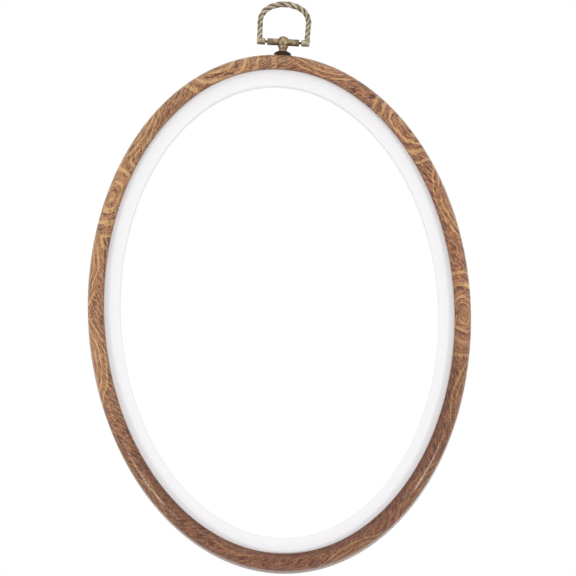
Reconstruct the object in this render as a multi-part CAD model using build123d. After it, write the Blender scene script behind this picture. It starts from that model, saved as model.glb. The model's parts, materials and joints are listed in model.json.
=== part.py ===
"""Oval needlework hoop that doubles as a frame: a soft moulded outer frame with a wood-look face, a stiff
moulded inner ring that pushes in from the back and traps the cloth behind the lip, and a swivelling
hanger with a rope-twist bail at the top.

Millimetres. The oval stands in the XZ plane with its long axis along +Z, and the front faces -Y. The pieces
are modelled about the middle of the oval in the plane of the back face. They are written out with the origin
where a hook bears on the inside of the bail, because the whole thing hangs from there."""

import os
from itertools import pairwise
from math import acos, asin, atan2, ceil, cos, degrees, pi, radians, sin, sqrt, tan

from build123d import *

# Outer frame
FRAME_WIDTH = 145.0
FRAME_HEIGHT = 199.0
END_POWER = -0.864  # the oval's arc radii are half its width times these powers of height over width
TURN_POWER = 0.5595
SIDE_POWER = 1.884
FRAME_DEPTH = 12.0
FACE_WIDTH = 6.35  # seen from the front, from the outline to the edge of the lip
LIP_REACH = 2.2  # how far the lip laps over the inner ring
LIP_THICK = 2.2
LIP_EASE = 0.65
FRONT_ROUND = 4.2
BACK_EASE = 0.6
MOUTH_EASE = 0.4

# Inner ring
CLOTH_GAP = 0.3  # room for the cloth between the two rings
BAND_WIDTH = 6.05  # the pale band that shows inside the lip
BAND_FALL = 0.6  # how far the band slopes back towards the window
BAND_THICK = 1.8
BAND_EASE = 0.5
GRIP_WALL = 1.8
RIM_WALL = 1.6
RIM_DEPTH = 4.8  # of the short wall around the window
RING_EASE = 0.3
RIB_COUNT = 28
RIB_THICK = 1.2
RIB_INSET = 0.6  # below the back of the rim

# Where the hanger stands
HANGER_OFFSET = 5.6  # to the side of the oval's long axis
HANGER_BACK = 5.2  # forward of the back face
SEAT_DEPTH = 0.15
SEAT_MARGIN = 0.2
SEAT_HEIGHT = 2.0  # the flat cut's room above the frame

# Screw, with a backing washer, through the frame's wall
SCREW_RADIUS = 0.8
SCREW_PLAY = 0.1
THREAD_PLAY = 0.02
SCREW_GRIP = 2.6  # length held in the post
SCREW_END_GAP = 0.3
HEAD_RADIUS = 1.6
HEAD_HEIGHT = 1.1
HEAD_EASE = 0.3
SLOT_WIDTH = 0.5
SLOT_DEPTH = 0.5
HEAD_SINK = 0.2  # of the head below the frame's inner wall
BACKING_RADIUS = 2.1
BACKING_THICK = 0.5
POCKET_PLAY = 0.2

# Domed washer
DOME_RADIUS = 3.5
DOME_TOP_RADIUS = 2.1
DOME_HEIGHT = 2.0
DOME_EDGE = 0.4
DOME_SHOULDER_RADIUS = 3.05
DOME_SHOULDER_HEIGHT = 1.4
DOME_WALL = 0.7

# Hanger post, with its ball and cross barrels
FLANGE_RADIUS = 1.7
FLANGE_THICK = 0.45
NECK_RADIUS = 1.45
NECK_RISE = 0.55  # from the flange up to the narrowest of the neck
BALL_RADIUS = 2.4
BALL_NECK_ANGLE = 42.0  # below the ball's middle, where the neck meets it
PIVOT_HEIGHT = 5.9  # above the seat
BARREL_RADIUS = 1.33
BARREL_REACH = 6.13
BARREL_CHAMFER = 0.2

# Bail: two feet with pins, and a twisted arch between them
PIN_RADIUS = 0.45
PIN_PLAY = 0.05
PIN_REACH = 2.3  # into the barrel
PIN_END_GAP = 0.25
FOOT_GAP = 0.72  # bare pin between the barrel and the foot
FOOT_RADIUS = 1.27
FOOT_EASE = 0.35
LEG_FOOT_X = 9.05
LEG_TOP_X = 9.3
ARCH_HEIGHT = 15.1  # of the wire's centre line, above the pivot
ARCH_RADIUS = 12.5
CORNER_RADIUS = 6.5
WIRE_LEG_RADIUS = 1.08
WIRE_TOP_RADIUS = 1.22
GROOVE_SHARE = 0.76  # of the wire's radius, left at the bottom of a groove
STRANDS = 3
GROOVE_STEP_LEG = 2.25  # between two grooves, along the wire
GROOVE_STEP_TOP = 3.5
SECTION_STEP = 0.7  # between two rings of facet corners
LOBE_SIDES = 4

OVERRUN = 1.0  # what a cut takes beyond the surface that it opens

# Worked out from the sizes above
HALF_WIDTH = FRAME_WIDTH / 2
HALF_HEIGHT = FRAME_HEIGHT / 2
END_RADIUS = HALF_WIDTH * (FRAME_HEIGHT / FRAME_WIDTH) ** END_POWER
TURN_RADIUS = HALF_WIDTH * (FRAME_HEIGHT / FRAME_WIDTH) ** TURN_POWER
SIDE_RADIUS = HALF_WIDTH * (FRAME_HEIGHT / FRAME_WIDTH) ** SIDE_POWER
FRONT = -FRAME_DEPTH
LIP_BACK = FRONT + LIP_THICK
WALL = FACE_WIDTH - LIP_REACH
RING_INSET = WALL + CLOTH_GAP
WINDOW_INSET = FACE_WIDTH + BAND_WIDTH
RIM_BACK = LIP_BACK + RIM_DEPTH
HEAD_BASE = SEAT_DEPTH - WALL + HEAD_SINK + HEAD_HEIGHT
POCKET_FLOOR = HEAD_BASE + BACKING_THICK
FLANGE_TOP = DOME_HEIGHT + FLANGE_THICK
FOOT_START = BARREL_REACH + FOOT_GAP
FOOT_END = LEG_FOOT_X + WIRE_LEG_RADIUS
STANDING = (Align.CENTER, Align.CENTER, Align.MIN)


def hanger_place():
    """The hanger's own place: its origin on the seat, Z out of the frame, X along the cross barrels."""
    lean = asin(HANGER_OFFSET / END_RADIUS)
    out = Vector(sin(lean), 0, cos(lean))
    end_middle = Vector(0, -HANGER_BACK, HALF_HEIGHT - END_RADIUS)
    return Plane(origin=end_middle + out * (END_RADIUS - SEAT_DEPTH), x_dir=(out.Z, 0, -out.X), z_dir=out)


def arc_middles():
    """The middles, in (x, z), of the arcs at the oval's top, at its upper right and at its right side."""
    end, side = Vector(0, HALF_HEIGHT - END_RADIUS), Vector(HALF_WIDTH - SIDE_RADIUS, 0)
    to_turn, to_side = TURN_RADIUS - END_RADIUS, SIDE_RADIUS - TURN_RADIUS
    gap = (side - end).length
    swing = acos((gap**2 + to_turn**2 - to_side**2) / (2 * gap * to_turn))
    heading = atan2(side.Y - end.Y, side.X - end.X) + swing
    return end, end + Vector(cos(heading), sin(heading)) * to_turn, side


def oval_face(inset, depth):
    """The oval at y = depth: eight arcs that run into each other smoothly, inset from the frame's outline."""
    end, turn, side = arc_middles()
    first = end + (end - turn).normalized() * (END_RADIUS - inset)
    last = turn + (turn - side).normalized() * (TURN_RADIUS - inset)
    between = turn + (first + last - turn * 2).normalized() * (TURN_RADIUS - inset)
    top, right = Vector(0, HALF_HEIGHT - inset), Vector(HALF_WIDTH - inset, 0)
    arcs = []
    for x_sign, z_sign in ((1, 1), (1, -1), (-1, -1), (-1, 1)):
        points = [Vector(point.X * x_sign, point.Y * z_sign) for point in (first, between, last)]
        arcs.append(ThreePointArc(*points))
    for sign in (1, -1):
        arcs.append(ThreePointArc((-first.X, first.Y * sign), top * sign, (first.X, first.Y * sign)))
        arcs.append(ThreePointArc((last.X * sign, last.Y), right * sign, (last.X * sign, -last.Y)))
    return Pos(0, depth, 0) * (Plane.XZ * make_face(arcs))


def oval(inset, front, back):
    """A solid oval block whose edge lies inset from the frame's outline, from y = front to y = back."""
    return extrude(oval_face(inset, back), amount=back - front)


def edges_at(solid, inset, depth):
    """The oval edges of a solid that lie inset from the outline, at y = depth."""
    slack = LIP_EASE / 100
    wanted = [radius - inset for radius in (END_RADIUS, TURN_RADIUS, SIDE_RADIUS)]
    arcs = [edge for edge in solid.edges().filter_by(GeomType.CIRCLE) if abs((edge @ 0.5).Y - depth) < slack]
    return [edge for edge in arcs if min(abs(edge.radius - radius) for radius in wanted) < slack]


def turned(profile):
    """A solid turned about Z from a closed profile of (radius, height) lines and arcs."""
    return revolve(Plane.XZ * make_face(profile), Axis.Z)


def rod(radius, start, end):
    """A round rod along X."""
    return Pos(start, 0, 0) * Rot(0, 90, 0) * Cylinder(radius, end - start, align=STANDING)


def peg(radius, start, end):
    """A round rod along Z."""
    return Pos(0, 0, start) * Cylinder(radius, end - start, align=STANDING)


def outer_frame():
    """The soft frame: a deep wall, a lip that hides the inner ring's edge, and a front rounded in three flats."""
    frame = oval(0, FRONT, 0)
    frame -= oval(FACE_WIDTH, FRONT - OVERRUN, OVERRUN)
    frame -= oval(WALL, LIP_BACK, OVERRUN)
    flat = FRONT_ROUND * (2 - sqrt(2))
    frame = chamfer(edges_at(frame, 0, FRONT), flat)
    corners = edges_at(frame, 0, FRONT + flat) + edges_at(frame, flat, FRONT)
    frame = chamfer(corners, FRONT_ROUND * (tan(pi / 8) - tan(pi / 16)))
    frame = chamfer(edges_at(frame, FACE_WIDTH, FRONT) + edges_at(frame, FACE_WIDTH, LIP_BACK), LIP_EASE)
    frame = chamfer(edges_at(frame, 0, 0), BACK_EASE)
    frame = chamfer(edges_at(frame, WALL, 0), MOUTH_EASE)
    seat_cut = peg(DOME_RADIUS + SEAT_MARGIN, 0, SEAT_HEIGHT)
    hole = peg(SCREW_RADIUS + SCREW_PLAY, POCKET_FLOOR - OVERRUN, OVERRUN)
    pocket = peg(BACKING_RADIUS + POCKET_PLAY, SEAT_DEPTH - WALL - OVERRUN, POCKET_FLOOR)
    return frame - hanger_place().location * (seat_cut + hole + pocket)


def rib_cores():
    """Flat webs that stand square to the oval all round the ring's channel."""
    middle = (RING_INSET + WINDOW_INSET) / 2
    half_x, half_z = HALF_WIDTH - middle, HALF_HEIGHT - middle
    cores = []
    for number in range(RIB_COUNT):
        turn = 2 * pi * (number + 1 / 2) / RIB_COUNT
        place = Vector(half_x * cos(turn), RIM_BACK - RIB_INSET, half_z * sin(turn))
        lean = degrees(atan2(sin(turn) / half_z, cos(turn) / half_x))
        web = Box(WINDOW_INSET - RING_INSET, RIM_DEPTH, RIB_THICK, align=(Align.CENTER, Align.MAX, Align.CENTER))
        cores.append(Pos(place) * Rot(0, -lean, 0) * web)
    return cores


def inner_ring():
    """The stiff ring: a band behind the lip, a deep wall that grips the cloth, a short rim, and ribs."""
    grip_inside = RING_INSET + GRIP_WALL
    rim_outside = WINDOW_INSET - RIM_WALL
    floor = LIP_BACK + BAND_FALL + BAND_THICK
    channel = oval(grip_inside, floor, RIM_BACK) - oval(rim_outside, floor - OVERRUN, RIM_BACK + OVERRUN)
    ring = oval(RING_INSET, LIP_BACK, 0)
    ring -= oval(WINDOW_INSET, LIP_BACK - OVERRUN, OVERRUN)
    band = ring.faces().sort_by(Axis.Y)[0]
    ring = chamfer(edges_at(ring, WINDOW_INSET, LIP_BACK), BAND_WIDTH, BAND_FALL, reference=band)
    ring = chamfer(edges_at(ring, WINDOW_INSET, LIP_BACK + BAND_FALL), BAND_EASE)
    ring -= oval(grip_inside, RIM_BACK, OVERRUN)
    ring -= channel
    ring = chamfer(edges_at(ring, WINDOW_INSET, RIM_BACK), RING_EASE)
    ring = chamfer(edges_at(ring, RING_INSET, 0) + edges_at(ring, grip_inside, 0), RING_EASE)
    for web in rib_cores():
        ring += web & channel
    return ring


def dome_washer():
    """The dark domed washer between the post and the frame, hollow underneath."""
    bore = SCREW_RADIUS + SCREW_PLAY
    under = DOME_HEIGHT - DOME_WALL
    profile = [
        (bore, DOME_HEIGHT),
        (DOME_TOP_RADIUS, DOME_HEIGHT),
        (DOME_SHOULDER_RADIUS, DOME_SHOULDER_HEIGHT),
        (DOME_RADIUS, DOME_EDGE),
        (DOME_RADIUS, 0),
        (DOME_RADIUS - DOME_WALL, 0),
        (DOME_TOP_RADIUS, under),
        (bore, under),
    ]
    return turned(Polyline(profile, close=True))


def backing_washer():
    """The flat washer that spreads the screw's pull inside the frame's wall."""
    disc = peg(BACKING_RADIUS, HEAD_BASE, POCKET_FLOOR)
    return disc - peg(SCREW_RADIUS + SCREW_PLAY, HEAD_BASE - OVERRUN, POCKET_FLOOR + OVERRUN)


def hanger_screw():
    """The screw that holds the post from inside the frame, with a slotted head."""
    head = peg(HEAD_RADIUS, HEAD_BASE - HEAD_HEIGHT, HEAD_BASE)
    head = chamfer(head.faces().sort_by(Axis.Z)[0].edges(), HEAD_EASE)
    slot = Pos(0, 0, HEAD_BASE - HEAD_HEIGHT) * Box(HEAD_RADIUS * 3, SLOT_WIDTH, SLOT_DEPTH * 2)
    return head - slot + peg(SCREW_RADIUS, HEAD_BASE, DOME_HEIGHT + SCREW_GRIP)


def hanger_post():
    """The cast post: flange, waisted neck, ball, and two cross barrels bored for the bail's pins."""
    drop = radians(BALL_NECK_ANGLE)
    waist = (NECK_RADIUS, FLANGE_TOP + NECK_RISE)
    joint = (BALL_RADIUS * cos(drop), PIVOT_HEIGHT - BALL_RADIUS * sin(drop))
    crown = (0, PIVOT_HEIGHT + BALL_RADIUS)
    profile = [
        Polyline(crown, (0, DOME_HEIGHT), (FLANGE_RADIUS, DOME_HEIGHT), (FLANGE_RADIUS, FLANGE_TOP)),
        Polyline((FLANGE_RADIUS, FLANGE_TOP), waist, joint),
        ThreePointArc(joint, (BALL_RADIUS, PIVOT_HEIGHT), crown),
    ]
    axis = Pos(0, 0, PIVOT_HEIGHT)
    barrels = rod(BARREL_RADIUS, -BARREL_REACH, BARREL_REACH)
    ends = barrels.edges().filter_by(GeomType.CIRCLE)
    post = turned(profile) + axis * chamfer(ends, BARREL_CHAMFER)
    bore = PIN_RADIUS + PIN_PLAY
    depth = PIN_REACH + PIN_END_GAP
    post -= axis * rod(bore, BARREL_REACH - depth, BARREL_REACH + OVERRUN)
    post -= axis * rod(bore, -BARREL_REACH - OVERRUN, depth - BARREL_REACH)
    screw_end = DOME_HEIGHT + SCREW_GRIP + SCREW_END_GAP
    return post - peg(SCREW_RADIUS + THREAD_PLAY, DOME_HEIGHT - OVERRUN, screw_end)


def bail_path():
    """The wire's centre line from foot to foot: two legs, two corners and a flat arch, above the pivot."""
    corner_x = LEG_TOP_X - CORNER_RADIUS
    arch_z = ARCH_HEIGHT - ARCH_RADIUS
    corner_z = arch_z + sqrt((ARCH_RADIUS - CORNER_RADIUS) ** 2 - corner_x**2)
    share = atan2(corner_x, corner_z - arch_z)
    half = (share + pi / 2) / 2
    join = (ARCH_RADIUS * sin(share), 0, arch_z + ARCH_RADIUS * cos(share))
    bend = (corner_x + CORNER_RADIUS * sin(half), 0, corner_z + CORNER_RADIUS * cos(half))
    leg_top, leg_foot = (LEG_TOP_X, 0, corner_z), (LEG_FOOT_X, 0, 0)

    def left(point):
        return (-point[0], point[1], point[2])

    return Wire(
        [
            Line(left(leg_foot), left(leg_top)),
            ThreePointArc(left(leg_top), left(bend), left(join)),
            ThreePointArc(left(join), (0, 0, ARCH_HEIGHT), join),
            ThreePointArc(join, bend, leg_top),
            Line(leg_top, leg_foot),
        ]
    )


def rope_corners(radius, turn):
    """The corners, in a plane, of the wire's cut face: one round lobe for each strand, meeting in grooves."""
    groove = radius * GROOVE_SHARE
    lobe_middle = (radius**2 - groove**2) / (2 * radius - groove)
    lobe_radius = radius - lobe_middle
    half = pi / STRANDS
    half_lobe = atan2(groove * sin(half), groove * cos(half) - lobe_middle)
    corners = []
    for strand in range(STRANDS):
        crest = turn + 2 * half * strand
        for side in range(LOBE_SIDES):
            angle = crest + half_lobe * (2 * side / LOBE_SIDES - 1)
            x = lobe_middle * cos(crest) + lobe_radius * cos(angle)
            y = lobe_middle * sin(crest) + lobe_radius * sin(angle)
            corners.append((x, y))
    return corners


def rope_rings():
    """Rings of corners along the wire, each turned a little on from the last; the twist opens over the arch."""
    path = bail_path()
    count = ceil(path.length / SECTION_STEP)
    rings = []
    turn = 0
    for number in range(count + 1):
        share = number / count
        crown = sin(pi * share) ** 4
        radius = WIRE_LEG_RADIUS + (WIRE_TOP_RADIUS - WIRE_LEG_RADIUS) * crown
        place = Plane(origin=path.position_at(share), x_dir=(0, 1, 0), z_dir=path.tangent_at(share))
        rings.append([place.from_local_coords((x, y, 0)) for x, y in rope_corners(radius, turn)])
        groove_step = GROOVE_STEP_LEG + (GROOVE_STEP_TOP - GROOVE_STEP_LEG) * crown
        turn += 2 * pi * path.length / count / (STRANDS * groove_step)
    print("rope: length", round(path.length, 1), "turns", round(turn / (2 * pi), 2))
    return rings


def rope():
    """The twisted wire, closed from flat three-cornered facets between the rings."""
    rings = rope_rings()

    def facet(*corners):
        return Face(Wire.make_polygon(corners))

    facets = [facet(*rings[0]), facet(*rings[-1])]
    for near, far in pairwise(rings):
        for side, (here, there) in enumerate(zip(near, far)):
            after = (side + 1) % len(near)
            facets += [facet(here, near[after], far[after]), facet(here, far[after], there)]
    return Solid(Shell(facets))


def bail():
    """The hanging bail: the twisted arch, a round foot at each end, and the pins that it turns on."""
    body = rope()
    for side in (0, 180):
        foot = rod(FOOT_RADIUS, FOOT_START, FOOT_END)
        foot = chamfer(foot.edges().filter_by(GeomType.CIRCLE), FOOT_EASE)
        pin = rod(PIN_RADIUS, BARREL_REACH - PIN_REACH, FOOT_START + FOOT_EASE)
        body += Rot(0, 0, side) * (foot + pin)
    return Pos(0, 0, PIVOT_HEIGHT) * body


def main():
    place = hanger_place()
    pieces = {
        "outer_frame": outer_frame(),
        "inner_ring": inner_ring(),
        "dome_washer": place.location * dome_washer(),
        "backing_washer": place.location * backing_washer(),
        "hanger_screw": place.location * hanger_screw(),
        "hanger_post": place.location * hanger_post(),
        "bail": place.location * bail(),
    }
    hook = place.from_local_coords((0, 0, PIVOT_HEIGHT + ARCH_HEIGHT - WIRE_TOP_RADIUS))
    pivot = place.from_local_coords((0, 0, PIVOT_HEIGHT))
    print("from the hook point: pivot", pivot - hook, "oval middle", -hook)
    print("cross axis", place.x_dir, "stem axis", place.z_dir)
    os.makedirs("parts", exist_ok=True)
    for name, shape in pieces.items():
        export_step(Pos(-hook) * shape, f"parts/{name}.step")


main()
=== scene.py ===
# %% [markdown]
# An oval embroidery hoop that doubles as a hanging frame. The real one is a soft vinyl outer frame printed
# to look like oak, a stiff white ring that presses in from behind and traps the cloth, and a small brass
# hanger on a dark domed washer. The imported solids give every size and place. This lesson dresses them.

import json
import math

import bmesh
import bpy
import numpy as np
from mathutils import Matrix, Quaternion, Vector


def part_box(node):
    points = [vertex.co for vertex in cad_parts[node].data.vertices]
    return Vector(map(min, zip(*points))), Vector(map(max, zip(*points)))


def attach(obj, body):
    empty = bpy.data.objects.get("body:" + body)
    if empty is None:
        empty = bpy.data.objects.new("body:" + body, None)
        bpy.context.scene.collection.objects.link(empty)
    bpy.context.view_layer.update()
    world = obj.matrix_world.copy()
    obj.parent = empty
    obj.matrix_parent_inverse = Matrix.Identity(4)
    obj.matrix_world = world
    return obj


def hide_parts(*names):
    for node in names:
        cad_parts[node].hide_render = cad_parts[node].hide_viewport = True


MM = 0.001

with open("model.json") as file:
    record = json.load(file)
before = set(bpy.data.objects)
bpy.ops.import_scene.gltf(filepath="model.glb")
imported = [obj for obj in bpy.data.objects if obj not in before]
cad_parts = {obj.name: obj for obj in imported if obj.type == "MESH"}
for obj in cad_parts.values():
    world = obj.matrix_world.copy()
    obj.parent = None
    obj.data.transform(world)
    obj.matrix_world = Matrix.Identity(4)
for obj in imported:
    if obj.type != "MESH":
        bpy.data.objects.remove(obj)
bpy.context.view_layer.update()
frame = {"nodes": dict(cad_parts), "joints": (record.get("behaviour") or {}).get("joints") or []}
joints = {joint["name"]: joint for joint in frame["joints"]}
print("solids:", ", ".join(sorted(frame["nodes"])))

# %% [markdown]
# The photograph was taken from far off with a long lens, a little below the hoop, with the camera leaning
# about two and a half degrees. A long lens keeps the oval's two ends alike, so the distance matters less
# than the angle. The point aimed at is the one that the middle of the picture shows.

# %% Camera
AIM = Vector((-3.9, -0.8, -110.1)) * MM
CAMERA_DISTANCE = 1500 * MM
CAMERA_AZIMUTH = math.radians(0.5)
CAMERA_ELEVATION = math.radians(-11.1)
CAMERA_ROLL = math.radians(-2.62)
CAMERA_LENS = 247.2


def direction(azimuth, elevation):
    """The way from the hoop to something at that azimuth, counted from the front, and that elevation."""
    level = math.cos(elevation)
    return Vector((math.sin(azimuth) * level, -math.cos(azimuth) * level, math.sin(elevation)))


back = direction(CAMERA_AZIMUTH, CAMERA_ELEVATION)
bpy.ops.object.camera_add(location=AIM + back * CAMERA_DISTANCE)
camera = bpy.context.object
camera.rotation_mode = "QUATERNION"
camera.rotation_quaternion = back.to_track_quat("Z", "Y") @ Quaternion((0, 0, 1), CAMERA_ROLL)
camera.data.lens = CAMERA_LENS
bpy.context.scene.camera = camera
bpy.context.scene.view_settings.view_transform = "Standard"
print("camera at", [round(v, 3) for v in camera.location])

# %% [markdown]
# Colours are written as the hex values that a paint chart would give, and turned to linear light by one
# function. One more function adds a node with its settings, gives its sockets values or links, and gives
# back one output, so that each material below reads as a list of what the surface has. A soft step is
# written as the two values between which it rises, and the two strengths that it leads between.

# %% Helpers for colours and nodes
SOFT = {"interpolation_type": "SMOOTHSTEP"}
COLOUR_MIX = {"out": 2, "data_type": "RGBA"}
FACTOR, A, B = 0, 6, 7  # a Mix node's sockets for colours, which share their names with those for numbers
A_NUMBER, B_NUMBER = 2, 3


def colour(code):
    """An sRGB hex value as linear red, green, blue and alpha."""
    parts = [int(code[place : place + 2], 16) / 255 for place in (0, 2, 4)]
    return [part / 12.92 if part <= 0.04045 else ((part + 0.055) / 1.055) ** 2.4 for part in parts] + [1]


def fill(tree, made, sockets):
    """Gives a node's sockets, by name or in their order, a value or a link."""
    for place, value in sockets.items() if isinstance(sockets, dict) else enumerate(sockets):
        if isinstance(value, bpy.types.NodeSocket):
            tree.links.new(value, made.inputs[place])
        else:
            made.inputs[place].default_value = value


def node(tree, kind, sockets=(), out=0, **settings):
    """Adds a node with its settings, fills its sockets and gives back one of its outputs."""
    made = tree.nodes.new("ShaderNode" + kind)
    for name, value in settings.items():
        setattr(made, name, value)
    fill(tree, made, sockets)
    return made.outputs[out]


def new_material(name):
    """An empty material, its tree and its principled shader."""
    made = bpy.data.materials.new(name)
    made.use_nodes = True
    return made, made.node_tree, made.node_tree.nodes["Principled BSDF"]


print("helpers ready")

# %% [markdown]
# The studio: a pale floor far enough below to leave the view clear, an even white surround, and four soft
# lamps. Two small ones stand left and right of the camera, low down, and leave the two glints on the
# frame's lower curves. A wide one in front, a little below the hoop, reaches in under the frame's lip. The
# widest hangs high in front and makes the upper flanks paler than the lower ones. The camera sees the
# floor's paper a little paler than the light makes it.

# %% Floor, surround and lamps
WHITE = "FFFFFF"
PAPER = "FAFAFA"
FLOOR_DROP = 900 * MM
FLOOR_SIZE = 40.0
FLOOR_LIFT = 0.12  # the strength by which the paper is shown paler; it sheds no light by it
AMBIENT = 0.71  # the surround's level as a lamp, where 1 is the white that the camera sees
SIDE_LAMP_AZIMUTH = math.radians(47)
SIDE_LAMP_ELEVATION = math.radians(-19)
SIDE_LAMP_DISTANCE = 1.3
SIDE_LAMP_SIZE = 0.07
SIDE_LAMP_POWER = 3.0
FRONT_LAMP_PLACE = direction(0, math.radians(-8)) * 1.3
FRONT_LAMP_SIZE = 0.5
FRONT_LAMP_POWER = 0.5
TOP_LAMP_PLACE = direction(0, math.radians(58)) * 1.5
TOP_LAMP_SIZE = 1.2
TOP_LAMP_POWER = 2.2


def add_lamp(name, place, size, power):
    """A square softbox aimed at the hoop."""
    bpy.ops.object.light_add(type="AREA", location=AIM + place)
    lamp = bpy.context.object
    lamp.name = name
    lamp.rotation_mode = "QUATERNION"
    lamp.rotation_quaternion = place.to_track_quat("Z", "Y")
    lamp.data.size = size
    lamp.data.energy = power


def light_the_surround():
    """White where the camera, gloss or glass looks, and a plainer level for the light that it sheds."""
    world = bpy.data.worlds.new("Studio surround")
    bpy.context.scene.world = world
    world.use_nodes = True
    tree = world.node_tree
    path = node(tree, "LightPath").node.outputs
    seen = node(tree, "Math", (path["Is Camera Ray"], path["Is Glossy Ray"]), operation="MAXIMUM")
    seen = node(tree, "Math", (seen, path["Is Transmission Ray"]), operation="MAXIMUM")
    level = node(tree, "MapRange", {"Value": seen, "To Min": AMBIENT, "To Max": 1.0})
    fill(tree, tree.nodes["Background"], {"Color": colour(WHITE), "Strength": level})


def studio_paper():
    """Pale paper that glows a little for the camera only."""
    made, tree, shader = new_material("Pale studio paper")
    looked_at = node(tree, "LightPath", out="Is Camera Ray")
    glow = node(tree, "Math", (looked_at, FLOOR_LIFT), operation="MULTIPLY")
    fill(tree, shader, {"Base Color": colour(PAPER), "Roughness": 0.9})
    fill(tree, shader, {"Emission Color": colour(WHITE), "Emission Strength": glow})
    return made


light_the_surround()
for name, azimuth in (("Left softbox", -SIDE_LAMP_AZIMUTH), ("Right softbox", SIDE_LAMP_AZIMUTH)):
    place = direction(azimuth, SIDE_LAMP_ELEVATION) * SIDE_LAMP_DISTANCE
    add_lamp(name, place, SIDE_LAMP_SIZE, SIDE_LAMP_POWER)
add_lamp("Front softbox", FRONT_LAMP_PLACE, FRONT_LAMP_SIZE, FRONT_LAMP_POWER)
add_lamp("Top softbox", TOP_LAMP_PLACE, TOP_LAMP_SIZE, TOP_LAMP_POWER)

bpy.ops.mesh.primitive_plane_add(size=FLOOR_SIZE, location=(0, 0, AIM.z - FLOOR_DROP))
floor = bpy.context.object
floor.name = "studio_floor"
floor.data.materials.append(studio_paper())

# %% [markdown]
# Both rings are mouldings with one section all the way round. A sweep along a path would do, but the way
# used here is closer to how a hand shapes one: start from a flat oval block, and push its two end faces
# inwards step by step with inset, each step going so far in and so far forward or back along the section.
# Inset keeps its distance from the edge all round, which scaling an oval can't do. At last the two end
# faces are bridged, and the window opens.

# %% Helpers for modelling
OVAL_SIDES = 480
SHARP_ANGLE = math.radians(32)
QUARTER_TURN = math.pi / 2
FACING = 0.9  # the least part of an end face's normal that lies along its axis
WELD = 0.001 * MM


def leave_edit():
    """Back to object mode, with nothing selected."""
    if bpy.context.object and bpy.context.object.mode != "OBJECT":
        bpy.ops.object.mode_set(mode="OBJECT")
    bpy.ops.object.select_all(action="DESELECT")


def pick(*objs):
    """Selects these objects and nothing else, and makes the first one active."""
    leave_edit()
    for obj in objs:
        obj.select_set(True)
    bpy.context.view_layer.objects.active = objs[0]


def select_where(obj, kind, wanted):
    """In edit mode, selects the faces or edges that pass the test, and nothing else."""
    bpy.ops.mesh.select_all(action="DESELECT")
    shape = bmesh.from_edit_mesh(obj.data)
    for part in getattr(shape, kind):
        if wanted(part):
            part.select_set(True)
    bmesh.update_edit_mesh(obj.data)


def weld():
    """Merges points that lie on one another, turns all faces outwards and leaves edit mode."""
    bpy.ops.mesh.select_all(action="SELECT")
    bpy.ops.mesh.remove_doubles(threshold=WELD)
    bpy.ops.mesh.normals_make_consistent(inside=False)
    leave_edit()


def apply_place(obj):
    """Puts the object's place, turn and size into its mesh."""
    pick(obj)
    bpy.ops.object.transform_apply(location=True, rotation=True, scale=True)


def smooth(obj, angle=SHARP_ANGLE):
    """Shades smoothly except over sharp edges."""
    pick(obj)
    bpy.ops.object.shade_smooth_by_angle(angle=angle)


def join(name, *objs):
    """One object from several."""
    pick(*objs)
    bpy.ops.object.join()
    objs[0].name = name
    return objs[0]


def size_of(obj):
    """A line to print about how fine the piece is."""
    obj.data.calc_loop_triangles()
    return f"{obj.name}: {len(obj.data.loop_triangles)} triangles"


def oval_block(name, middle, half_width, half_height, front, back_face):
    """A flat oval block, standing, from one depth to another."""
    leave_edit()
    place = (middle.x, (front + back_face) / 2, middle.z)
    bpy.ops.mesh.primitive_cylinder_add(
        vertices=OVAL_SIDES,
        radius=1,
        depth=back_face - front,
        location=place,
        rotation=(QUARTER_TURN, 0, 0),
    )
    block = bpy.context.object
    block.name = name
    block.scale = (half_width, half_height, 1)
    apply_place(block)
    return block


def follow_section(obj, facing, points):
    """Pushes the end face that faces that way along the section, through points of (inset, outward)."""
    select_where(obj, "faces", lambda face: len(face.verts) > 4 and face.normal.y * facing > FACING)
    inset, outward = points[0]
    for next_inset, next_outward in points[1:]:
        bpy.ops.mesh.inset(thickness=next_inset - inset, depth=next_outward - outward, use_even_offset=True)
        inset, outward = next_inset, next_outward


def open_window(obj):
    """Bridges the two end faces."""
    select_where(obj, "faces", lambda face: len(face.verts) > 4)
    bpy.ops.mesh.bridge_edge_loops()
    weld()


def rounded(start, end, corner, steps):
    """Points of a quarter round from start to end, bulging towards the corner; start is left out."""
    points = []
    for number in range(1, steps + 1):
        turn = QUARTER_TURN * number / steps
        first, second = math.sin(turn), 1 - math.cos(turn)
        x = start[0] + (corner[0] - start[0]) * first + (end[0] - corner[0]) * second
        y = start[1] + (corner[1] - start[1]) * first + (end[1] - corner[1]) * second
        points.append((x, y))
    return points


def arc_points(middle, radius, start, end, steps):
    """Points of an arc between two angles, counted from the first axis; the first point is left out."""
    points = []
    for number in range(1, steps + 1):
        turn = start + (end - start) * number / steps
        points.append((middle[0] + radius * math.cos(turn), middle[1] + radius * math.sin(turn)))
    return points


def lengths_along(points):
    """The length along a line of points up to each of them."""
    steps = [math.dist(here, there) for here, there in zip(points, points[1:])]
    return np.concatenate([[0], np.cumsum(steps)])


print("modelling helpers ready")

# %% [markdown]
# The outer frame is soft vinyl, about 6 mm wide and 12 mm deep, with a full round on its outer front corner
# and a lip that laps over the white ring. Its front end face goes over the round and up to the lip's edge.
# Its back end face goes round the mouth, forward along the inside of the wall and in behind the lip.

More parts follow.
